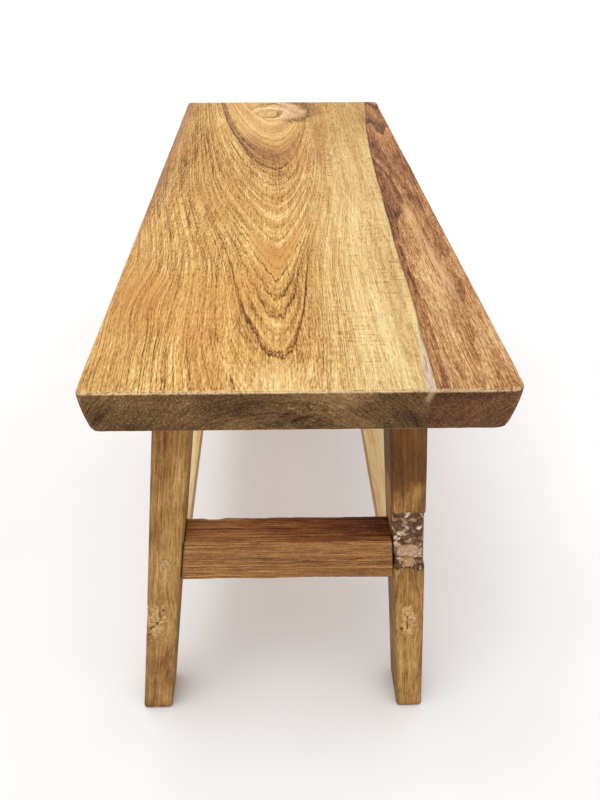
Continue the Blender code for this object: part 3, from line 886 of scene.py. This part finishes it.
def leg_piece(name, leg, material, *also_hidden):
    """A leg, made upright round its own middle and then leaned and tapered, with its knots and burl."""
    mean_width = leg.width(.2)
    top = UNDERSIDE - SHOULDER_GAP
    fine_zones = [(knot["z"] - KNOT_ZONE, knot["z"] + KNOT_ZONE) for knot in leg.knots]
    if leg.burl:
        fine_zones.append((leg.burl[0] - BURL_ZONE, leg.burl[1] + BURL_ZONE))

    def level_step(z):
        if z < .006 or any(low < z < high for low, high in fine_zones):
            return LEG_FINE
        return LEG_COARSE

    fine = LEG_FINE if fine_zones else .0022
    xs = edge_graded(-mean_width / 2, mean_width / 2, .0008, fine, .0045)
    ys = edge_graded(*leg.face, *LEG_DEPTH_STEPS)
    flat, faces = box_grid(xs, ys, stations(0, top, level_step))
    low = (-mean_width / 2, leg.face[0], 0)
    high = (mean_width / 2, leg.face[1], top + LEG_ARRIS * 2)
    local = ease(flat, low, high, LEG_ARRIS, (0, 1, 2))
    edge = corner_share(flat, low, high, LEG_ARRIS, (0, 1, 2))

    outward = normals(local, faces)
    sink = .00015 * (1 + ripple(local, (25, 25, 9), leg.seed))
    sink += edge * .0009 * np.clip(.25 + ripple(local, (60, 60, 22), leg.seed + 5), 0, 1)
    outer_face = leg.face[leg.outer > 0] * leg.outer
    front = smooth(local[:, 1] * leg.outer, outer_face - .012, outer_face - .003)
    pale, gap_shade, burl = np.zeros(len(local)), np.zeros(len(local)), np.zeros(len(local))
    for knot in leg.knots:
        depth, light, split = knot_shape(local, knot, front, leg.seed)
        sink, pale, gap_shade = sink + depth, np.maximum(pale, light), np.maximum(gap_shade, split)
    if leg.burl:
        depth, burl, split = burl_shape(local, leg.burl, front, leg.seed)
        sink, gap_shade = sink + depth, np.maximum(gap_shade, split)
    local = local - outward * sink[:, None]
    points = local.copy()
    points[:, 0] = leg.centre(local[:, 2]) + local[:, 0] * leg.width(local[:, 2]) / mean_width
    # Splits and crevices are painted darker through this mark: painted shade.
    marks = {"pale": pale, "gap_shade": gap_shade * .75, "burl": burl}
    return make_piece(name, points, faces, marks, material, "leg_wood", leg.node, *also_hidden)


# ---------------------------------------------------------------------------------------------------------
# Stretchers and rails


def stretcher_piece(name, node, left, right, material, seed):
    """The cross bar between two legs, with wavy edges and a notch in the inner edge of its top."""
    low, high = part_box(node)
    xs = edge_graded(0, 1, *STRETCHER_LENGTH_STEPS)
    ys = edge_graded(low.y, high.y, *STRETCHER_STEPS)
    zs = edge_graded(low.z, high.z, *STRETCHER_HEIGHT_STEPS)
    flat, faces = box_grid(xs, ys, zs)
    corners = (low.y, low.z), (high.y, high.z)
    local = ease(flat, *corners, STRETCHER_ARRIS, (1, 2))
    edge = corner_share(flat, *corners, STRETCHER_ARRIS, (1, 2))
    start = left.centre(local[:, 2]) + left.width(local[:, 2]) / 2 + SHOULDER_GAP
    end = right.centre(local[:, 2]) - right.width(local[:, 2]) / 2 - SHOULDER_GAP
    points = local.copy()
    points[:, 0] = start + (end - start) * local[:, 0]
    outward = normals(points, faces)
    sink = .0003 * (1 + ripple(points, (16, 30, 30), seed))
    sink += edge * .0010 * np.clip(.3 + ripple(points, (45, 60, 60), seed + 3), 0, 1)
    inner_y = high.y if left.outer < 0 else low.y
    beside_notch = (points[:, 0] - start - NOTCH_PLACE) / NOTCH_HALF[0]
    from_notch = np.hypot(beside_notch, (points[:, 1] - inner_y) / NOTCH_HALF[1])
    notch = smooth(from_notch, 1, .4) * smooth(local[:, 2], high.z - .005, high.z - .001)
    sink += notch * .0013
    # Painted shade where the stretcher meets the legs, through the ends' mark.
    ends = np.maximum(smooth(flat[:, 0], .010, 0), smooth(1 - flat[:, 0], .004, 0) * .4)
    points = points - outward * (sink * (flat[:, 0] > 0) * (flat[:, 0] < 1))[:, None]
    marks = {"pale": notch * .8, "gap_shade": ends * .55}
    return make_piece(name, points, faces, marks, material, "stretcher_wood", node)


def rail_piece(name, node, near_leg, far_leg, material, seed):
    """The long side rail between the backs of a near and a far leg."""
    low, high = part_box(node)
    near_face, far_face = near_leg.face[1] + SHOULDER_GAP, far_leg.face[0] - SHOULDER_GAP
    xs = edge_graded(low.x, high.x, *RAIL_STEPS)
    ys = edge_graded(near_face, far_face, *RAIL_LENGTH_STEPS)
    zs = edge_graded(low.z, high.z, *RAIL_HEIGHT_STEPS)
    flat, faces = box_grid(xs, ys, zs)
    corners = (low.x, low.z), (high.x, high.z)
    points = ease(flat, *corners, RAIL_ARRIS, (0, 2))
    edge = corner_share(flat, *corners, RAIL_ARRIS, (0, 2))
    outward = normals(points, faces)
    sink = .0002 * (1 + ripple(points, (30, 9, 30), seed))
    sink += edge * .0007 * np.clip(.3 + ripple(points, (60, 40, 60), seed + 3), 0, 1)
    inside = (flat[:, 1] > near_face) & (flat[:, 1] < far_face)
    # Painted shade where the rail meets the legs, through the ends' mark.
    ends = smooth(np.minimum(flat[:, 1] - near_face, far_face - flat[:, 1]), .004, 0)
    points = points - outward * (sink * inside)[:, None]
    return make_piece(name, points, faces, {"gap_shade": ends * .5}, material, "rail_wood", node)


# ---------------------------------------------------------------------------------------------------------
# The bench

# Palettes: stops of (tone, red, green, blue).
GOLD_LEG = (
    (.0, 68, 40, 12), (.28, 120, 81, 37), (.5, 158, 114, 60), (.7, 183, 140, 80), (.95, 214, 174, 114))
BROWN_LEG = (
    (.0, 68, 40, 12), (.28, 120, 81, 35), (.5, 161, 118, 60), (.7, 186, 144, 80), (.95, 214, 174, 110))
STRETCHER_FACE = (
    (.0, 56, 28, 10), (.28, 104, 62, 27), (.5, 146, 97, 49), (.7, 172, 120, 66), (.95, 208, 164, 100))
# The stretchers' top faces, darker with painted shade.
STRETCHER_SHADED_TOP = (
    (.0, 42, 16, 6), (.28, 88, 46, 20), (.5, 124, 74, 38), (.7, 154, 100, 56), (.95, 192, 142, 90))

LEGS = {
    "near_left": Leg("near_left_leg", 1, knots=({"x": -.0062, "z": .151, "half": (.0115, .037)},)),
    "near_right": Leg(
        "near_right_leg", 4, knots=({"x": -.0015, "z": .148, "half": (.0095, .033)},), burl=(.228, .302),
        dark_above=.318),
    "far_left": Leg("far_left_leg", 9),
    "far_right": Leg("far_right_leg", 13, knots=({"x": .0050, "z": .270, "half": (.0060, .020)},)),
}

seat_piece(seat_boards())
for place, leg in LEGS.items():
    palette = GOLD_LEG if "left" in place else BROWN_LEG
    timber = leg_timber(place + "_leg_timber", leg, palette)
    leg_piece(place + "_leg_body", leg, timber, place + "_tenon_wedge")
for end, seed in (("near", 31), ("far", 47)):
    left, right = LEGS[end + "_left"], LEGS[end + "_right"]
    timber = cross_timber(end + "_stretcher_timber", STRETCHER_FACE, STRETCHER_SHADED_TOP, seed)
    stretcher_piece(end + "_stretcher", end + "_end_stretcher", left, right, timber, seed)
rail_material = rail_timber()
for side, seed in (("left", 61), ("right", 67)):
    near, far = LEGS["near_" + side], LEGS["far_" + side]
    rail_piece(side + "_rail", side + "_side_rail", near, far, rail_material, seed)
peg_material = peg_timber()
for name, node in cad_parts.items():
    if name.endswith("_peg"):
        node.data.materials.clear()
        node.data.materials.append(peg_material)


# ---------------------------------------------------------------------------------------------------------
# Floor, light and camera


def add_floor():
    paint = Paint("pale_floor")
    x, y = paint.place()[:2]
    grain = paint.noise(x * 3, y * 3, 0, 3)
    colour = paint.ramp(grain, (.3, 240, 240, 240), (.7, 246, 246, 246))
    material = paint.finish(colour, .85, grain, .0002)
    reach = 20
    corners = [(-reach, -reach, 0), (reach, -reach, 0), (reach, reach, 0), (-reach, reach, 0)]
    mesh = bpy.data.meshes.new("floor")
    mesh.from_pydata(corners, [], [(0, 1, 2, 3)])
    mesh.materials.append(material)
    floor = bpy.data.objects.new("floor", mesh)
    bpy.context.scene.collection.objects.link(floor)


def add_light():
    world = bpy.data.worlds.new("studio")
    world.use_nodes = True
    background = world.node_tree.nodes["Background"]
    background.inputs["Color"].default_value = (1, 1, 1, 1)
    background.inputs["Strength"].default_value = .85
    bpy.context.scene.world = world
    lamp = bpy.data.lights.new("overhead", "SUN")
    lamp.energy = 1.12
    lamp.angle = math.radians(50)
    overhead = bpy.data.objects.new("overhead", lamp)
    overhead.rotation_euler = Vector((-.22, -.20, 1)).to_track_quat("Z", "Y").to_euler()
    bpy.context.scene.collection.objects.link(overhead)


def add_camera():
    lens = bpy.data.cameras.new("camera")
    lens.lens = 32.61
    lens.sensor_width = 36
    lens.shift_x = .0205
    camera = bpy.data.objects.new("camera", lens)
    camera.location = (-.0215, -.939, .7594)
    camera.rotation_euler = (math.radians(55.33), 0, math.radians(-.944))
    bpy.context.scene.collection.objects.link(camera)
    bpy.context.scene.camera = camera


add_floor()
add_light()
add_camera()
bpy.context.scene.view_settings.view_transform = "Standard"
